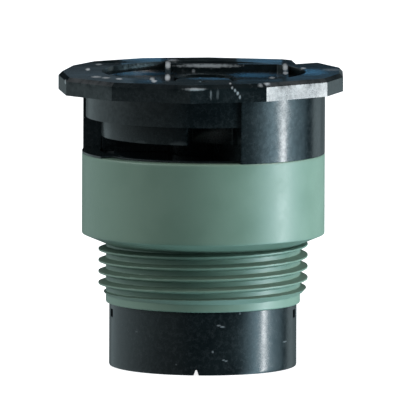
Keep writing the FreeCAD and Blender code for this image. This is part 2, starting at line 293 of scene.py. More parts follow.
def round_edges(obj, width):
    """Small moulding radius on every sharp edge, with even shading on the flats."""
    clean(obj)
    bevel = obj.modifiers.new("moulding_radius", "BEVEL")
    bevel.width = width * MM
    bevel.segments = 2
    bevel.limit_method = "ANGLE"
    bevel.angle_limit = math.radians(12.0)
    bevel.use_clamp_overlap = True
    bevel.harden_normals = False
    apply_modifiers(obj)
    clean(obj, 0.0005)
    finish_shading(obj)


def finish_shading(obj, angle=35.0):
    """Smooth shading between edges sharper than the angle."""
    for polygon in obj.data.polygons:
        polygon.use_smooth = True
    obj.data.set_sharp_from_angle(angle=math.radians(angle))
    weighted = obj.modifiers.new("even_shading", "WEIGHTED_NORMAL")
    weighted.keep_sharp = True
    apply_modifiers(obj)


def stand_for(obj, node, body, material):
    """Give a finished piece its material and body, and hide the CAD node it stands for."""
    obj.data.materials.clear()
    obj.data.materials.append(material)
    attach(obj, body)
    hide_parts(node)


# ---------------------------------------------------------------- materials

# Pale marks on the cap, partly a rubbed scratch and nicks, partly painted glints on the ribs, cross
# bar and edges: centre, half sizes and strength.
CAP_WEAR_AND_GLINT_MARKS = (
    ((0.3, 6.0, 24.45), (2.75, 0.35, 0.17), 0.8),
    ((-0.7, -11.8, 24.28), (0.95, 0.5, 0.13), 0.5),
    ((2.2, -9.9, 24.6), (0.10, 0.7, 0.15), 0.6),
    ((2.35, -11.0, 24.35), (0.11, 0.4, 0.16), 0.65),
    ((2.6, -10.9, 24.1), (0.11, 0.4, 0.16), 0.6),
    ((2.82, -10.8, 23.85), (0.11, 0.4, 0.16), 0.6),
    ((3.0, -10.7, 23.55), (0.10, 0.4, 0.20), 0.5),
    ((0.6, -11.4, 23.8), (0.10, 0.5, 0.42), 0.25),
    ((1.15, -11.2, 23.8), (0.12, 0.5, 0.42), 0.12),
    ((-3.0, 5.0, 24.6), (0.26, 3.3, 0.25), 0.75),
    ((-3.0, -5.3, 24.6), (0.24, 2.7, 0.25), 0.8),
    ((-2.6, 9.0, 24.6), (0.5, 1.0, 0.2), 0.3),
    ((-4.1, -7.9, 24.6), (0.24, 1.5, 0.25), 0.8),
    ((-4.3, -1.2, 23.95), (0.22, 2.6, 0.15), 0.8),
    ((6.8, 3.4, 24.6), (0.24, 3.2, 0.25), 0.7),
    ((6.8, -1.2, 24.6), (0.24, 1.4, 0.25), 0.55),
    ((-0.86, 5.9, 24.0), (0.16, 0.4, 0.17), 0.35),
    ((-9.65, 1.1, 24.6), (0.20, 1.0, 0.15), 0.85),
    ((-8.8, 5.3, 24.6), (0.30, 0.7, 0.15), 0.4),
    ((-8.9, -4.9, 24.6), (0.45, 0.8, 0.15), 0.5),
    ((-8.1, -5.7, 24.6), (0.40, 0.7, 0.15), 0.5),
    ((-7.0, -6.5, 24.6), (0.28, 0.7, 0.15), 0.7),
    ((-11.5, -5.2, 24.2), (0.14, 0.6, 0.2), 0.7),
    ((8.3, 2.8, 24.6), (0.24, 0.8, 0.15), 0.5),
    ((5.7, 1.2, 23.95), (0.28, 0.9, 0.15), 0.5),
    ((5.25, -9.55, 24.6), (0.32, 0.5, 0.2), 0.6),
    ((4.7, -10.1, 24.5), (0.24, 0.4, 0.2), 0.45),
    ((10.7, 1.6, 24.6), (0.9, 1.2, 0.15), 0.18),
)

# Chalky specks on the skirt, and painted glints on the insert's lower edge and left end, in the
# same form.
SKIRT_MARKS = (
    ((1.32, -7.70, 4.19), (0.17, 0.5, 0.07), 0.32),
    ((1.62, -7.65, 4.08), (0.17, 0.5, 0.07), 0.36),
    ((0.83, -7.78, 2.0), (0.07, 0.5, 0.10), 0.35),
    ((1.72, -7.62, 1.30), (0.12, 0.5, 0.06), 0.32),
    ((1.95, -7.57, 1.22), (0.12, 0.5, 0.06), 0.32),
    ((3.08, -7.19, 5.15), (0.08, 0.5, 0.10), 0.25),
    ((6.83, -3.8, 2.4), (0.2, 0.4, 0.07), 0.2),
    ((-5.5, -5.6, 3.4), (0.10, 0.4, 0.07), 0.12),
    ((-2.2, -7.5, 0.9), (0.07, 0.4, 0.07), 0.15),
)
INSERT_PAINTED_GLINTS = (
    ((-2.1, -8.3, 19.3), (0.75, 0.5, 0.26), 0.10),
    ((-5.2, -6.8, 19.3), (0.6, 0.5, 0.2), 0.06),
    ((-8.1, -2.8, 20.1), (0.6, 1.2, 1.0), 0.07),
)
# Colour of all the marks: chalk, and the painted glints.
CHALK_AND_GLINT_COLOUR = (0.50, 0.53, 0.54)

# Painted bluish reflection on the cap, laid on as a blue sheen in patches: centre, half sizes and
# strength.
PAINTED_BLUE_REFLECTIONS = (
    ((-5.5, 4.3, 23.95), (2.5, 1.9, 0.3), 0.75),
    ((4.4, 3.2, 23.95), (2.2, 2.2, 0.3), 0.75),
    ((8.9, -0.4, 24.6), (1.5, 2.7, 0.3), 0.45),
    ((-4.5, -8.5, 24.6), (1.2, 1.8, 0.3), 0.1),
    ((-4.6, 9.6, 24.6), (2.0, 1.4, 0.3), 0.2),
    ((5.0, 8.6, 24.6), (2.0, 1.9, 0.3), 0.15),
    ((1.2, -6.0, 24.6), (2.4, 1.0, 0.3), 0.3),
)
# Places on the cap with a lower specular level: centre, half sizes and strength.
LOW_SPECULAR_PATCHES = (
    ((-7.6, 7.2, 24.6), (3.6, 2.4, 0.6), 1.0),
    ((-9.8, 4.4, 24.6), (2.0, 2.0, 0.6), 0.8),
    ((1.0, 1.6, 23.95), (4.6, 6.0, 0.6), 1.0),
    ((-4.4, 3.6, 23.95), (2.2, 3.4, 0.6), 1.0),
    ((1.5, 9.2, 24.6), (5.0, 2.6, 0.6), 0.7),
    ((-6.0, -8.2, 24.6), (3.0, 2.0, 0.6), 0.7),
    ((2.0, -10.4, 24.6), (5.6, 1.4, 0.6), 0.6),
    ((9.6, 6.0, 24.6), (2.2, 1.6, 0.6), 0.7),
)


class Wiring:
    """Short way to wire a node tree."""

    def __init__(self, tree):
        self.tree = tree

    def add(self, kind, **settings):
        node = self.tree.nodes.new(kind)
        for key, setting in settings.items():
            setattr(node, key, setting)
        return node

    def fill(self, socket, value):
        """Set a socket to a number or a colour, or link another node's output to it."""
        if isinstance(value, (int, float)):
            socket.default_value = value
        elif isinstance(value, tuple):
            socket.default_value = (*value, 1.0)
        else:
            self.tree.links.new(value, socket)

    def math(self, operation, *values):
        node = self.add("ShaderNodeMath", operation=operation)
        for socket, value in zip(node.inputs, values):
            self.fill(socket, value)
        return node.outputs["Value"]

    def vector_math(self, operation, source):
        node = self.add("ShaderNodeVectorMath", operation=operation)
        self.fill(node.inputs[0], source)
        return node

    def split(self, source):
        """The X, Y and Z of a vector."""
        node = self.add("ShaderNodeSeparateXYZ")
        self.fill(node.inputs["Vector"], source)
        return [node.outputs[axis] for axis in ("X", "Y", "Z")]

    def remap(self, source, low, high, to_low=0.0, to_high=1.0):
        """Smooth step from to_low at low up or down to to_high at high."""
        node = self.add("ShaderNodeMapRange", interpolation_type="SMOOTHSTEP")
        for socket, value in zip(node.inputs, (source, low, high, to_low, to_high)):
            self.fill(socket, value)
        return node.outputs["Result"]

    def mix(self, factor, first, second):
        """Colour between first and second."""
        node = self.add("ShaderNodeMix", data_type="RGBA")
        colours = [item for item in node.inputs if item.type == "RGBA"]
        self.fill(next(item for item in node.inputs if item.type == "VALUE"), factor)
        self.fill(colours[0], first)
        self.fill(colours[1], second)
        return next(item for item in node.outputs if item.type == "RGBA")


class Nodes(Wiring):
    """Short way to wire one material."""

    def __init__(self, name):
        self.material = bpy.data.materials.new(name)
        self.material.use_nodes = True
        super().__init__(self.material.node_tree)
        self.shader = self.tree.nodes["Principled BSDF"]
        self.place = self.add("ShaderNodeTexCoord").outputs["Object"]

    def set(self, name, value):
        self.fill(self.shader.inputs[name], value)

    def noise(self, scale, detail=4.0, roughness=0.55):
        node = self.add("ShaderNodeTexNoise")
        node.inputs["Scale"].default_value = scale
        node.inputs["Detail"].default_value = detail
        node.inputs["Roughness"].default_value = roughness
        self.fill(node.inputs["Vector"], self.place)
        return node.outputs["Fac"]

    def from_axis(self):
        """Distance from the Z axis, and height."""
        across, along, height = self.split(self.place)
        squares = [self.math("POWER", value, 2.0) for value in (across, along)]
        return self.math("SQRT", self.math("ADD", *squares)), height

    def blot(self, ragged, centre, halves, strength):
        """Soft ellipsoid of the given strength about a point, its edge made ragged."""
        away = self.vector_math("SUBTRACT", self.place)
        away.inputs[1].default_value = tuple(value * MM for value in centre)
        scaled = self.vector_math("DIVIDE", away.outputs["Vector"])
        scaled.inputs[1].default_value = tuple(value * MM for value in halves)
        reach = self.vector_math("LENGTH", scaled.outputs["Vector"])
        return self.remap(self.math("ADD", reach.outputs["Value"], ragged), 2.1, 1.1, 0.0, strength)

    def blots(self, ragged, table, start=0.0):
        """The strongest of a table's blots at each place."""
        for centre, halves, strength in table:
            start = self.math("MAXIMUM", start, self.blot(ragged, centre, halves, strength))
        return start

    def dust(self):
        """Faint cloudy dust, to be mixed in as chalk."""
        return self.remap(self.noise(3000.0, 5.0, 0.7), 0.42, 0.72, 0.0, 0.030)

    def painted_thread_shade(self):
        """Painted shade that darkens the upper flanks of the collar's thread."""
        distance, height = self.from_axis()
        facing = self.split(self.add("ShaderNodeTexCoord").outputs["Normal"])[2]
        ridge = self.remap(distance, THREAD_ROOT * MM, (THREAD_ROOT + 0.06) * MM)
        upward = self.remap(facing, 0.2, 0.6)
        level = self.remap(height, (NECK_LEVEL + 0.02) * MM, (NECK_LEVEL - 0.02) * MM)
        flank = self.math("MULTIPLY", ridge, upward)
        return self.math("MULTIPLY", flank, self.math("MULTIPLY", level, 0.6))

    def bump(self, source, strength, distance, normal=None):
        node = self.add("ShaderNodeBump")
        node.inputs["Strength"].default_value = strength
        node.inputs["Distance"].default_value = distance * MM
        self.fill(node.inputs["Height"], source)
        if normal is not None:
            self.fill(node.inputs["Normal"], normal)
        return node.outputs["Normal"]


def moulded_plastic(name, colour, pale, roughness, specular=0.5, marks=(), threaded=False):
    """Moulded plastic: clouded colour, fine grain, a faint dusting of pale scuffs and any marks,
    and on a thread, painted shade on its upper flanks.
    """
    nodes = Nodes(name)
    grain = 0.03
    cloud = nodes.noise(260.0, 5.0)
    fine = nodes.noise(2600.0, 3.0)
    scuff = nodes.remap(nodes.noise(1500.0, 6.0, 0.75), 0.66, 0.78)
    toned = nodes.mix(nodes.remap(cloud, 0.35, 0.65, 0.0, 0.55), colour, pale)
    surface_colour = nodes.mix(nodes.math("MULTIPLY", scuff, 0.25), toned, pale)
    if marks:
        ragged = nodes.math("MULTIPLY", nodes.noise(5200.0, 5.0, 0.7), 1.2)
        specks = nodes.remap(nodes.noise(7000.0, 2.0), 0.74, 0.80, 0.0, 0.12)
        # Chalk specks and marks; the insert's marks are painted glints.
        chalk_and_glints = nodes.blots(ragged, marks, nodes.math("MAXIMUM", specks, nodes.dust()))
        surface_colour = nodes.mix(chalk_and_glints, surface_colour, CHALK_AND_GLINT_COLOUR)
    # Painted shade: the thread's upper flanks darkened towards a fifth of the colour.
    if threaded:
        painted_shade_tone = tuple(0.2 * value for value in colour)
        surface_colour = nodes.mix(nodes.painted_thread_shade(), surface_colour, painted_shade_tone)
    nodes.set("Base Color", surface_colour)
    uneven = nodes.math("ADD", nodes.remap(cloud, 0.3, 0.7, roughness - 0.05, roughness + 0.07),
                        nodes.math("MULTIPLY", scuff, 0.15))
    speckle = nodes.remap(nodes.noise(2300.0, 5.0, 0.7), 0.36, 0.64, -0.03, 0.03)
    nodes.set("Roughness", nodes.math("ADD", uneven, speckle))
    nodes.set("Specular IOR Level", specular)
    coarse = nodes.bump(nodes.noise(420.0, 3.0), 0.25, grain)
    nodes.set("Normal", nodes.bump(fine, 0.35, grain * 0.4, coarse))
    return nodes.material


def cap_plastic_worn_and_painted():
    """The black plastic of the cap: sink marks, chalky nicks and painted glints, a painted bluish
    reflection laid on as sheen, and places of lower specular level.
    """
    nodes = Nodes("black_acetal_cap")
    cloud = nodes.noise(300.0, 5.0)
    sinks = nodes.noise(430.0, 2.0, 0.4)
    height = nodes.split(nodes.place)[2]
    top = nodes.remap(height, (FLANGE_TOP - 0.9) * MM, (FLANGE_TOP - 0.3) * MM)
    side = nodes.math("SUBTRACT", 1.0, top)
    wear = nodes.remap(nodes.noise(900.0, 6.0, 0.7), 0.60, 0.72)
    worn = nodes.math("MULTIPLY", nodes.math("MULTIPLY", wear, top), 0.10)
    dusty = nodes.math("MAXIMUM", worn, nodes.math("MULTIPLY", nodes.dust(), side))
    ragged = nodes.math("MULTIPLY", nodes.noise(3600.0, 5.0, 0.7), 1.6)
    # Chalk marks, partly wear and partly painted glints, mixed into the colour.
    chalk_and_glints = nodes.blots(ragged, CAP_WEAR_AND_GLINT_MARKS, dusty)
    toned = nodes.mix(nodes.remap(cloud, 0.35, 0.65, 0.0, 0.6), BLACK_TONE, DUSTY_BLACK_TONE)
    nodes.set("Base Color", nodes.mix(chalk_and_glints, toned, CHALK_AND_GLINT_COLOUR))
    # Painted bluish reflection, laid on as sheen in patches.
    nodes.set("Sheen Weight", nodes.blots(ragged, PAINTED_BLUE_REFLECTIONS))
    nodes.set("Sheen Tint", (0.16, 0.52, 0.90))
    nodes.set("Sheen Roughness", 0.25)
    patchy = nodes.remap(nodes.noise(700.0, 6.0, 0.7), 0.36, 0.62, 0.16, 0.66)
    speckled = nodes.remap(nodes.noise(2300.0, 5.0, 0.7), 0.36, 0.64, 0.42, 0.60)
    level = nodes.add("ShaderNodeMix", data_type="FLOAT")
    nodes.fill(level.inputs["Factor"], top)
    nodes.fill(level.inputs["A"], speckled)
    nodes.fill(level.inputs["B"], patchy)
    # Specular level lowered in patches.
    clear = nodes.math("SUBTRACT", 1.0, nodes.blots(ragged, LOW_SPECULAR_PATCHES))
    nodes.set("Specular IOR Level", nodes.math("MULTIPLY", level.outputs["Result"], clear))
    smooth = nodes.remap(cloud, 0.3, 0.7, 0.13, 0.22)
    nodes.set("Roughness", nodes.math("ADD", smooth, nodes.math("MULTIPLY", chalk_and_glints, 0.5)))
    uneven = nodes.bump(nodes.math("MULTIPLY", sinks, top), 1.0, 0.04)
    nodes.set("Normal", nodes.bump(nodes.noise(2400.0, 3.0), 0.35, 0.012, uneven))
    return nodes.material


def turned_steel(name, colour, roughness):
    """Turned stainless steel with fine concentric tool marks."""
    nodes = Nodes(name)
    nodes.set("Metallic", 1.0)
    distance = nodes.from_axis()[0]
    rings = nodes.math("SINE", nodes.math("MULTIPLY", distance, 54000.0))
    grime = nodes.noise(900.0, 5.0)
    dark = tuple(value * 0.55 for value in colour)
    nodes.set("Base Color", nodes.mix(nodes.remap(grime, 0.4, 0.7), colour, dark))
    nodes.set("Roughness", nodes.remap(grime, 0.3, 0.7, roughness, roughness + 0.2))
    nodes.set("Normal", nodes.bump(rings, 0.2, 0.004))
    return nodes.material


BLACK_TONE = (0.004, 0.007, 0.008)
PALE_BLACK_TONE = (0.008, 0.013, 0.014)
DUSTY_BLACK_TONE = (0.010, 0.015, 0.016)
BLACK = moulded_plastic("black_acetal", BLACK_TONE, PALE_BLACK_TONE, 0.17)
SKIRT_BLACK = moulded_plastic("black_acetal_skirt", BLACK_TONE, DUSTY_BLACK_TONE, 0.17,
                              marks=SKIRT_MARKS)
# The insert's marks are painted glints.
INSERT_BLACK = moulded_plastic("black_acetal_insert", BLACK_TONE, PALE_BLACK_TONE, 0.2,
                               specular=0.3, marks=INSERT_PAINTED_GLINTS)
CAP_BLACK = cap_plastic_worn_and_painted()
GREEN = moulded_plastic("green_collar_plastic", (0.168, 0.256, 0.191), (0.198, 0.292, 0.220), 0.38,
                        specular=0.6, threaded=True)
NATURAL = moulded_plastic("natural_acetal", (0.62, 0.60, 0.52), (0.72, 0.70, 0.62), 0.4)
DARK = moulded_plastic("dark_nylon", (0.018, 0.019, 0.021), (0.04, 0.042, 0.045), 0.5)
RUBBER = moulded_plastic("seal_rubber", (0.012, 0.012, 0.012), (0.03, 0.03, 0.03), 0.7)
STEEL = turned_steel("stainless_screw", (0.62, 0.61, 0.58), 0.22)
WIRE = turned_steel("strainer_wire", (0.50, 0.50, 0.48), 0.3)


# ---------------------------------------------------------------- pieces

def build_cap():
    """Flanged top: faceted rim, recess with ribs, window step and the wall beside the window."""
    sink = 0.2
    cap = prism("deflector_cap_shell", FLANGE_CORNERS, FLANGE_LOW, FLANGE_TOP)
    slope_top(cap, FLANGE_CHAMFER)
    wall = prism("wall", circle(COLLAR_RADIUS), COLLAR_TOP, FLANGE_LOW + sink)
    carve(wall, prism("opening", slice_outline(FLANGE_REACH, WINDOW_START, WINDOW_SPAN),
                      COLLAR_TOP + BASE_RING, FLANGE_LOW + 2 * sink))
    ledge = prism("ledge", slice_outline(FLANGE_REACH, LEDGE_START, LEDGE_SPAN), COLLAR_TOP - 1,
                  COLLAR_TOP + BASE_RING + 0.05)
    carve(ledge, prism("ledge_core", circle(LEDGE_RADIUS), COLLAR_TOP - 2, COLLAR_TOP + 2))
    carve(wall, ledge)
    carve(cap, wall, "UNION")
    carve(cap, prism("step", circle(STEP_RADIUS), STEP_LOW, FLANGE_LOW + sink), "UNION")
    carve(cap, prism("inside", circle(WALL_BORE), COLLAR_TOP - 1, INSERT_TOP))
    carve(cap, recess_tool())
    carve(cap, prism("well", circle(WELL_RADIUS, segments=64), INSERT_TOP - 1, FLANGE_TOP + 1))
    carve(cap, prism("dimple", circle(DIMPLE_RADIUS, (0, -RECESS_RADIUS), 32),
                     FLANGE_TOP - 0.4, FLANGE_TOP + 1))
    notch_x, notch_y = polar(NOTCH_REACH, NOTCH_TURN)
    notch_centre = (NOTCH_TIP[0] + notch_x, NOTCH_TIP[1] + notch_y)
    carve(cap, prism("notch", circle(NOTCH_REACH, notch_centre, 3, NOTCH_TURN + 180),
                     FLANGE_LOW, FLANGE_TOP + 1))
    round_edges(cap, 0.09)
    stand_for(cap, "deflector_cap", BODY, CAP_BLACK)


def slope_top(flange, chamfer):
    """Cut a slope round the top of a flat plate by drawing its top in."""
    work = bmesh.new()
    work.from_mesh(flange.data)
    top = max(vertex.co.z for vertex in work.verts)
    geometry = work.verts[:] + work.edges[:] + work.faces[:]
    foot = top - chamfer * MM
    bmesh.ops.bisect_plane(work, geom=geometry, plane_co=(0, 0, foot), plane_no=(0, 0, 1))
    for vertex in work.verts:
        if vertex.co.z > top - chamfer * MM / 2:
            shrink = 1 - chamfer / (vertex.co.xy.length / MM)
            vertex.co.x *= shrink
            vertex.co.y *= shrink
    work.to_mesh(flange.data)
    work.free()


def recess_tool():
    """The recess's hollow: a disc less the ribs, cross bar, front tab and hub."""
    tool = prism("recess", circle(RECESS_RADIUS), RECESS_FLOOR, FLANGE_TOP + 1)
    low, high = RECESS_FLOOR - 1, FLANGE_TOP + 2
    for centre in (RIB_LEFT, RIB_RIGHT):
        carve(tool, prism("rib", bar_outline(centre - RIB_WIDTH / 2, centre + RIB_WIDTH / 2,
                                             -RECESS_RADIUS - 1, RECESS_RADIUS + 1), low, high))
    bar_plan = bar_outline(RIB_LEFT, RIB_RIGHT, BAR_START, BAR_START + BAR_WIDTH)
    bar = prism("bar", bar_plan, low, high)
    for vertex in bar.data.vertices:
        at_front = vertex.co.y < (BAR_START + 0.1) * MM
        if vertex.co.z > FLANGE_TOP * MM and at_front:
            vertex.co.z = FLANGE_TOP * MM
    carve(tool, bar)
    carve(tool, prism("tab", circle(TAB_RADIUS, (0, -TAB_CENTRE), 64), low, high))
    carve(tool, prism("hub", circle(HUB_RADIUS, segments=64), low, HUB_TOP))
    return tool


def thread_ridge(level, crest, pitch, half_foot, half_slope):
    """Share of the ridge's full height at a level, for a thread whose crest passes another."""
    offset = abs((level - crest + pitch / 2) % pitch - pitch / 2)
    return min(1.0, max(0.0, (half_foot - offset) / half_slope))


def thread_height(radius, level, angle):
    """Radius of the collar's outside with its right-hand thread, which fades in at the bottom."""
    if abs(radius - THREAD_ROOT) > 0.001 or not COLLAR_LOW < level < NECK_LEVEL:
        return radius
    crest = THREAD_FIRST + THREAD_PITCH * ((angle - 90.0) % 360.0) / 360.0
    ridge = thread_ridge(level, crest, THREAD_PITCH, THREAD_HALF_FOOT, THREAD_SLOPE)
    fade = min(1.0, max(0.0, (level - THREAD_FADE_LOW) / THREAD_FADE))
    return THREAD_ROOT + (THREAD_CREST - THREAD_ROOT) * min(ridge, fade)


def build_collar():
    """Green collar: lipped counterbore, plain band, shoulder, neck and thread."""
    inner = PLATE_RADIUS + 0.05
    rows = 160
    thread = [(THREAD_ROOT, COLLAR_LOW + 0.1 + (NECK_LEVEL - COLLAR_LOW - 0.1) * index / rows)
              for index in range(rows + 1)]
    outline = [(COLLAR_BORE, COLLAR_LOW), (THREAD_ROOT - 0.1, COLLAR_LOW),
               (THREAD_ROOT - 0.03, COLLAR_LOW + 0.03)]
    outline += thread
    outline += [
        (THREAD_ROOT + 0.06, NECK_LEVEL + 0.03),
        (COLLAR_RADIUS - 0.09, SHOULDER_LEVEL - 0.04),
        (COLLAR_RADIUS - 0.02, SHOULDER_LEVEL),
        (COLLAR_RADIUS, SHOULDER_LEVEL + 0.05),
        (COLLAR_RADIUS, SHOULDER_LEVEL + 0.3),
        (COLLAR_RADIUS, COLLAR_TOP - 0.3),
        (COLLAR_RADIUS, COLLAR_TOP - 0.12),
        (COLLAR_RADIUS - 0.035, COLLAR_TOP - 0.035),
        (COLLAR_RADIUS - 0.12, COLLAR_TOP),
        (inner + 0.08, COLLAR_TOP),
        (inner, COLLAR_TOP - 0.08),
        (inner, PLATE_LOW),
        (COLLAR_BORE, PLATE_LOW),
    ]
    collar = lathe("threaded_collar_shell", outline, thread_height, 288)
    finish_shading(collar, 50.0)
    stand_for(collar, "threaded_collar", BODY, GREEN)


def build_inlet():
    """Black skirt with its snap slits and a gate nick, and the sleeve above it."""
    outline = [(SLEEVE_RADIUS, 0.1), (SLEEVE_RADIUS + 0.1, 0.0), (SKIRT_RADIUS - 0.15, 0.0),
               (SKIRT_RADIUS - 0.04, 0.04), (SKIRT_RADIUS, 0.15), (SKIRT_RADIUS, 0.4),
               (SKIRT_RADIUS, COLLAR_LOW - 0.05), (SKIRT_RADIUS - 0.05, COLLAR_LOW),
               (SLEEVE_RADIUS, COLLAR_LOW), (SLEEVE_RADIUS, SLEEVE_TOP), (SEAT_BORE, SLEEVE_TOP),
               (SEAT_BORE, SEAT_LEVEL), (PASSAGE_RADIUS, SEAT_LEVEL),
               (PASSAGE_RADIUS, SCREEN_SEAT), (SLEEVE_RADIUS, SCREEN_SEAT)]
    inlet = lathe("inlet_body_shell", outline)
    for low, high in ((-SLIT_EDGE, -TONGUE_HALF), (TONGUE_HALF, SLIT_EDGE)):
        carve(inlet, prism("snap_slit", bar_outline(-10, 10, low, high), SLIT_LOW, SLIT_HIGH))
    nick = prism("gate_nick", bar_outline(6.5, 9, -NICK_HALF, NICK_HALF), -0.1, NICK_HIGH)
    for vertex in nick.data.vertices:
        if vertex.co.z > 0:
            vertex.co.y *= 0.1
    nick.data.transform(Matrix.Rotation(math.radians(NICK_ANGLE), 4, "Z"))
    carve(inlet, nick)
    clean(inlet)
    finish_shading(inlet)
    stand_for(inlet, "inlet_body", BODY, SKIRT_BLACK)


def build_insert():
    """Stepped deflector under the cap."""
    window = slice_outline(PLATE_RADIUS + 1, WINDOW_START, WINDOW_SPAN)
    deep_slice = slice_outline(PLATE_RADIUS + 1, DEEP_START, DEEP_SPAN)
    insert = prism("spray_insert_shell", circle(INSERT_RADIUS), PLATE_TOP, INSERT_TOP)
    carve(insert, prism("bore", circle(INSERT_BORE, segments=48), PLATE_TOP - 1, INSERT_TOP + 1))
    carve(insert, prism("well", circle(WELL_RADIUS, segments=48), INSERT_WELL_LOW, INSERT_TOP + 1))
    gap = prism("gap", window, PLATE_TOP - 1, LIP_LEVEL)
    carve(gap, prism("gap_hub", circle(INSERT_HUB, segments=64), PLATE_TOP - 2, LIP_LEVEL + 1))
    carve(insert, gap)
    deep = prism("deep", deep_slice, PLATE_TOP - 1, STEP_LOW)
    scoop = prism("scoop", circle(SCOOP_RADIUS, SCOOP_CENTRE), PLATE_TOP - 2, STEP_LOW + 1)
    carve(deep, scoop, "INTERSECT")
    carve(insert, deep)
    round_edges(insert, 0.06)
    stand_for(insert, "spray_insert", BODY, INSERT_BLACK)


def build_plate():
    """Floor of the window with its jet slot and feed channel."""
    window = slice_outline(SLOT_OUTER, WINDOW_START, WINDOW_SPAN)
    plate = prism("orifice_plate_shell", circle(PLATE_RADIUS), PLATE_LOW, PLATE_TOP)
    carve(plate, prism("bore", circle(PLATE_BORE, segments=48), PLATE_LOW - 1, PLATE_TOP + 1))
    slot = prism("slot", window, PLATE_LOW - 1, PLATE_TOP + 1)
    carve(slot, prism("slot_core", circle(SLOT_INNER), PLATE_LOW - 2, PLATE_TOP + 2))
    channel = prism("channel", window, PLATE_LOW - 1, CHANNEL_ROOF)
    carve(channel, prism("channel_core", circle(CHANNEL_INNER, segments=64), PLATE_LOW - 2,
                         CHANNEL_ROOF + 0.4))
    carve(plate, slot)
    carve(plate, channel)
    round_edges(plate, 0.05)
    stand_for(plate, "orifice_plate", BODY, BLACK)


def build_screw():
    """Slotted stainless screw: rounded head, seal groove, threaded shank and conical tip."""
    groove_low, groove_high, head_low = 22.05, 22.7, 22.75
    thread_low, thread_high = 17.4, groove_low - 0.3
    rows = 150

    def screw_radius(radius, level, angle):
        if abs(radius - SCREW_CORE) > 0.0005 or not thread_low < level < thread_high:
            return radius
        ridge = thread_ridge(level, SCREW_PITCH * angle / 360.0, SCREW_PITCH, 0.21, 0.17)
        fade = min(1.0, (level - thread_low) / 0.4)
        return SCREW_CORE + SCREW_RIDGE * min(ridge, fade)

    outline = [(0.001, TIP_LEVEL), (0.62, TIP_LEVEL), (0.70, TIP_LEVEL + 0.06),
               (SCREW_CORE, thread_low - 0.1)]
    outline += [(SCREW_CORE, thread_low + (thread_high - thread_low) * index / rows)
                for index in range(rows + 1)]
    outline += [(SCREW_CREST, thread_high + 0.02), (SCREW_CREST, groove_low),
                (SCREW_GROOVE, groove_low + 0.03), (SCREW_GROOVE, groove_high),
                (SCREW_CORE, head_low - 0.02), (HEAD_RADIUS - 0.06, head_low),
                (HEAD_RADIUS, head_low + 0.06), (HEAD_RADIUS, HEAD_TOP - 0.14),
                (HEAD_RADIUS - 0.05, HEAD_TOP - 0.04), (HEAD_RADIUS - 0.16, HEAD_TOP),
                (0.001, HEAD_TOP)]
    screw = lathe("radius_screw_shell", outline, screw_radius, 72)
    clean(screw, 0.003)
    slot = bar_outline(-2, 2, -0.25, 0.25)
    carve(screw, prism("driver_slot", slot, HEAD_TOP - 0.45, HEAD_TOP + 1))
    finish_shading(screw)
    stand_for(screw, "radius_screw", "radius_screw", STEEL)


def tube_along(work, points, radius, closed):
    """Round wire through points, added to a bmesh."""
    sides = 6
    rings = []
    count = len(points)
    for index, point in enumerate(points):
        before = points[(index - 1) % count] if closed or index else point
        after = points[(index + 1) % count] if closed or index < count - 1 else point
        along = (after - before).normalized()
        side = along.cross(Vector((0.0, 0.0, 1.0))).normalized()
        up = side.cross(along)
        ring = []
        for corner in range(sides):
            turn = 2 * math.pi * corner / sides
            offset = side * (radius * math.cos(turn)) + up * (radius * math.sin(turn))
            ring.append(work.verts.new(point + offset))
        rings.append(ring)
    for index in range(count if closed else count - 1):
        here, there = rings[index], rings[(index + 1) % count]
        for corner in range(sides):
            after = (corner + 1) % sides
            work.faces.new((here[corner], here[after], there[after], there[corner]))
    if not closed:
        work.faces.new(rings[0])
        work.faces.new(rings[-1])


def build_mesh():
    """Conical strainer of woven wire: hoops, and spokes that pass over and under them."""
    work = bmesh.new()
    neck, wire = 1.0, 0.055
    hoops, spokes = 16, 64
    rise = MESH_TOP - 0.18 - MESH_LOW

    def on_cone(share, angle, lift):
        radius = MESH_FOOT_RADIUS - 0.09 - (MESH_FOOT_RADIUS - 0.09 - neck) * share
        level = MESH_LOW + 0.1 + rise * share + lift
        return Vector((*polar(radius, angle), level)) * MM

    for hoop in range(hoops + 1):
        share = hoop / hoops
        points = [on_cone(share, 360.0 * step / 96, 0.0) for step in range(96)]
        tube_along(work, points, wire * MM, True)
    for spoke in range(spokes):
        last = hoops if spoke % 4 == 0 else (hoops * 3) // 4 if spoke % 2 == 0 else hoops // 2
        points = []
        for hoop in range(last + 1):
            lift = wire if (hoop + spoke) % 2 else -wire
            points.append(on_cone(hoop / hoops, 360.0 * spoke / spokes, lift * 0.8))
        tube_along(work, points, wire * MM, False)
    bmesh.ops.recalc_face_normals(work, faces=work.faces)
    mesh = bpy.data.meshes.new("screen_mesh_weave")
    work.to_mesh(mesh)
    work.free()
    weave = link("screen_mesh_weave", mesh)
    for polygon in mesh.polygons:
        polygon.use_smooth = True
    stand_for(weave, "screen_mesh", "inlet_screen", WIRE)


def dress_cad_nodes():
    """Materials of the CAD pieces that show as they are."""
    dress = {"throttle_seat": NATURAL, "pressure_disc": RUBBER, "disc_retainer": NATURAL,
             "screw_seal": RUBBER, "screen_frame": DARK, "screen_cap": DARK}
    for node, material in dress.items():
        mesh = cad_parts[node].data
        mesh.materials.clear()
        mesh.materials.append(material)


# ---------------------------------------------------------------- stage

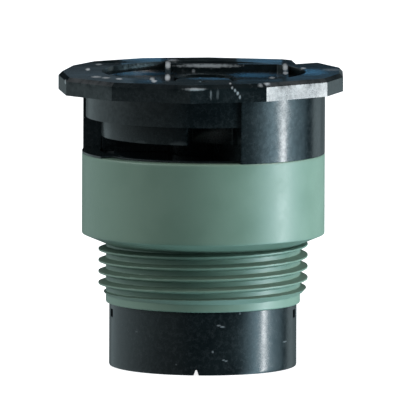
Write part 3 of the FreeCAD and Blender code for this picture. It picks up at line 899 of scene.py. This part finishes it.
def build_floor():
    """Round pale floor, clear when looked at from below."""
    mesh = bpy.data.meshes.new("floor")
    points = [(x * MM, y * MM, -0.02 * MM) for x, y in circle(900.0, segments=64)]
    mesh.from_pydata(points, [], [tuple(range(len(points)))])
    floor = link("floor", mesh)
    nodes = Nodes("pale_floor")
    nodes.set("Base Color", (0.8, 0.8, 0.8))
    nodes.set("Roughness", 0.9)
    nodes.set("Specular IOR Level", 0.1)
    nodes.set("Emission Color", (1.0, 1.0, 1.0))
    nodes.set("Emission Strength", 0.85)
    either = nodes.add("ShaderNodeMixShader")
    nodes.fill(either.inputs["Fac"], nodes.add("ShaderNodeNewGeometry").outputs["Backfacing"])
    nodes.fill(either.inputs[1], nodes.shader.outputs["BSDF"])
    nodes.fill(either.inputs[2], nodes.add("ShaderNodeBsdfTransparent").outputs["BSDF"])
    nodes.fill(nodes.tree.nodes["Material Output"].inputs["Surface"], either.outputs["Shader"])
    mesh.materials.append(nodes.material)
    floor.visible_glossy = False
    floor.visible_shadow = False
    floor.visible_diffuse = False


# Brightness of the surround at eye level: bearing in degrees clockwise from the camera's side,
# radiance and tint.
COOL = (0.55, 0.85, 1.0)
PALE = (0.76, 0.95, 1.0)
SURROUND = (
    (-180, 0.28, PALE), (-172, 0.22, PALE), (-163, 0.13, PALE), (-156, 0.32, PALE),
    (-150, 0.50, PALE), (-125, 0.62, PALE), (-110, 0.68, PALE), (-88, 0.58, PALE),
    (-77, 0.42, PALE), (-54, 0.26, PALE), (-34, 0.19, PALE), (-12, 0.07, COOL), (8, 0.05, COOL),
    (36, 0.06, COOL), (48, 0.3, COOL), (60, 1.9, COOL), (70, 4.2, COOL), (88, 3.8, COOL),
    (98, 1.8, COOL), (112, 0.70, COOL), (119, 0.05, COOL), (124, 0.07, COOL), (131, 0.80, PALE),
    (146, 0.50, PALE), (152, 0.22, PALE), (180, 0.22, PALE),
)


def surround_band(nodes, bearing):
    """The surround's colour at a bearing."""
    band = nodes.add("ShaderNodeValToRGB")
    elements = band.color_ramp.elements
    strongest = max(strength for _, strength, _ in SURROUND)
    for index, (degrees, strength, tint) in enumerate(SURROUND):
        position = (degrees + 180) / 360
        if index in (0, len(SURROUND) - 1):
            element = elements[0 if index == 0 else -1]
            element.position = position
        else:
            element = elements.new(position)
        element.color = (*(strength / strongest * channel for channel in tint), 1.0)
    turn = nodes.math("ADD", nodes.math("DIVIDE", bearing, 2 * math.pi), 0.5)
    nodes.fill(band.inputs["Fac"], turn)
    eye_level = nodes.vector_math("SCALE", band.outputs["Color"])
    eye_level.inputs["Scale"].default_value = strongest
    return eye_level.outputs["Vector"]


def build_world():
    """Soft surround: bright strip on the right, dim in front, dark above the horizon behind."""
    world = bpy.data.worlds.new("studio")
    bpy.context.scene.world = world
    world.use_nodes = True
    nodes = Wiring(world.node_tree)
    across, along, up = nodes.split(nodes.add("ShaderNodeTexCoord").outputs["Generated"])
    bearing = nodes.math("ARCTAN2", across, nodes.math("MULTIPLY", along, -1.0))
    behind = nodes.remap(along, 0.55, 0.85)
    raised = nodes.remap(up, -0.02, 0.07)
    colour = nodes.mix(nodes.math("MULTIPLY", behind, raised), surround_band(nodes, bearing),
                       (0.004, 0.006, 0.008))
    colour = nodes.mix(nodes.remap(up, 0.25, 0.6), colour, (0.55, 0.57, 0.60))
    colour = nodes.mix(nodes.remap(up, 0.8, 0.95), colour, (0.10, 0.11, 0.12))
    camera_ray = nodes.add("ShaderNodeLightPath").outputs["Is Camera Ray"]
    seen = nodes.mix(camera_ray, colour, (1.0, 1.0, 1.0))
    nodes.fill(world.node_tree.nodes["Background"].inputs["Color"], seen)


def soft_box(name, azimuth, elevation, distance, width, height, radiance, colour=(1.0, 1.0, 1.0)):
    """Rectangle of even radiance; azimuth 0 is the camera's side and 90 is +X."""
    turn, rise = math.radians(azimuth), math.radians(elevation)
    level = math.cos(rise)
    away = Vector((math.sin(turn) * level, -math.cos(turn) * level, math.sin(rise)))
    centre = Vector((0.0, 0.0, MIDDLE_LEVEL)) + away * distance
    place_light(name, centre, away, width, height, radiance, colour)


def place_light(name, centre, away, width, height, radiance, colour):
    """Area light at a centre, turned so that it shines against the direction away."""
    data = bpy.data.lights.new(name, "AREA")
    data.shape = "RECTANGLE"
    data.size = width * MM
    data.size_y = height * MM
    data.energy = radiance * math.pi * width * height * MM * MM
    data.color = colour
    light = bpy.data.objects.new(name, data)
    bpy.context.scene.collection.objects.link(light)
    light.location = centre * MM
    light.rotation_mode = "QUATERNION"
    light.rotation_quaternion = away.to_track_quat("Z", "Y")
    light.visible_camera = False


def build_lights():
    """Soft boxes round the object, and dim cards behind it that show in its top."""
    card_depth = 21.0
    soft_box("strip", 80.5, -6.5, 300.0, 34.0, 170.0, 16.0)
    soft_box("key", 78.0, 34.0, 350.0, 160.0, 120.0, 8.0, (1.0, 0.82, 0.76))
    soft_box("fill", -75.0, 38.0, 350.0, 220.0, 160.0, 3.6, (0.92, 0.97, 1.0))
    soft_box("front_fill", -5.0, 45.0, 400.0, 180.0, 120.0, 1.2)
    cards = (("left_card", -7.0, -3.6, 24.6, 26.6, 0.23, (0.28, 0.64, 1.0)),
             ("right_card", 2.8, 6.6, 24.6, 26.6, 0.23, (0.28, 0.64, 1.0)),
             ("high_left_card", -12.5, -6.0, 26.8, 31.0, 0.15, (0.55, 0.80, 1.0)),
             ("high_card", -6.0, 7.0, 26.8, 31.0, 0.03, (0.42, 0.76, 1.0)),
             ("high_right_card", 7.0, 12.5, 26.8, 31.0, 0.16, (0.28, 0.64, 1.0)))
    for name, low, high, foot, head, radiance, tint in cards:
        centre = Vector(((low + high) / 2, card_depth, (foot + head) / 2))
        place_light(name, centre, Vector((0.0, 1.0, 0.0)), high - low, head - foot, radiance, tint)


def build_camera():
    """Long lens from a little above, rolled slightly."""
    data = bpy.data.cameras.new("camera")
    distance = 1250.0
    frame_width = 34.67
    data.sensor_width = 36.0
    data.lens = distance * data.sensor_width / frame_width
    data.clip_end = 10.0
    camera = bpy.data.objects.new("camera", data)
    bpy.context.scene.collection.objects.link(camera)
    rise = math.radians(6.35)
    back = Vector((0.0, -math.cos(rise), math.sin(rise)))
    target = Vector((0.395, 0.0, 13.14)) * MM
    camera.location = target + back * distance * MM
    camera.rotation_mode = "QUATERNION"
    roll = Quaternion((0.0, 0.0, 1.0), math.radians(0.22))
    camera.rotation_quaternion = back.to_track_quat("Z", "Y") @ roll
    bpy.context.scene.camera = camera


build_cap()
build_collar()
build_inlet()
build_insert()
build_plate()
build_screw()
build_mesh()
dress_cad_nodes()
build_floor()
build_world()
build_lights()
build_camera()
bpy.context.scene.view_settings.view_transform = "Standard"
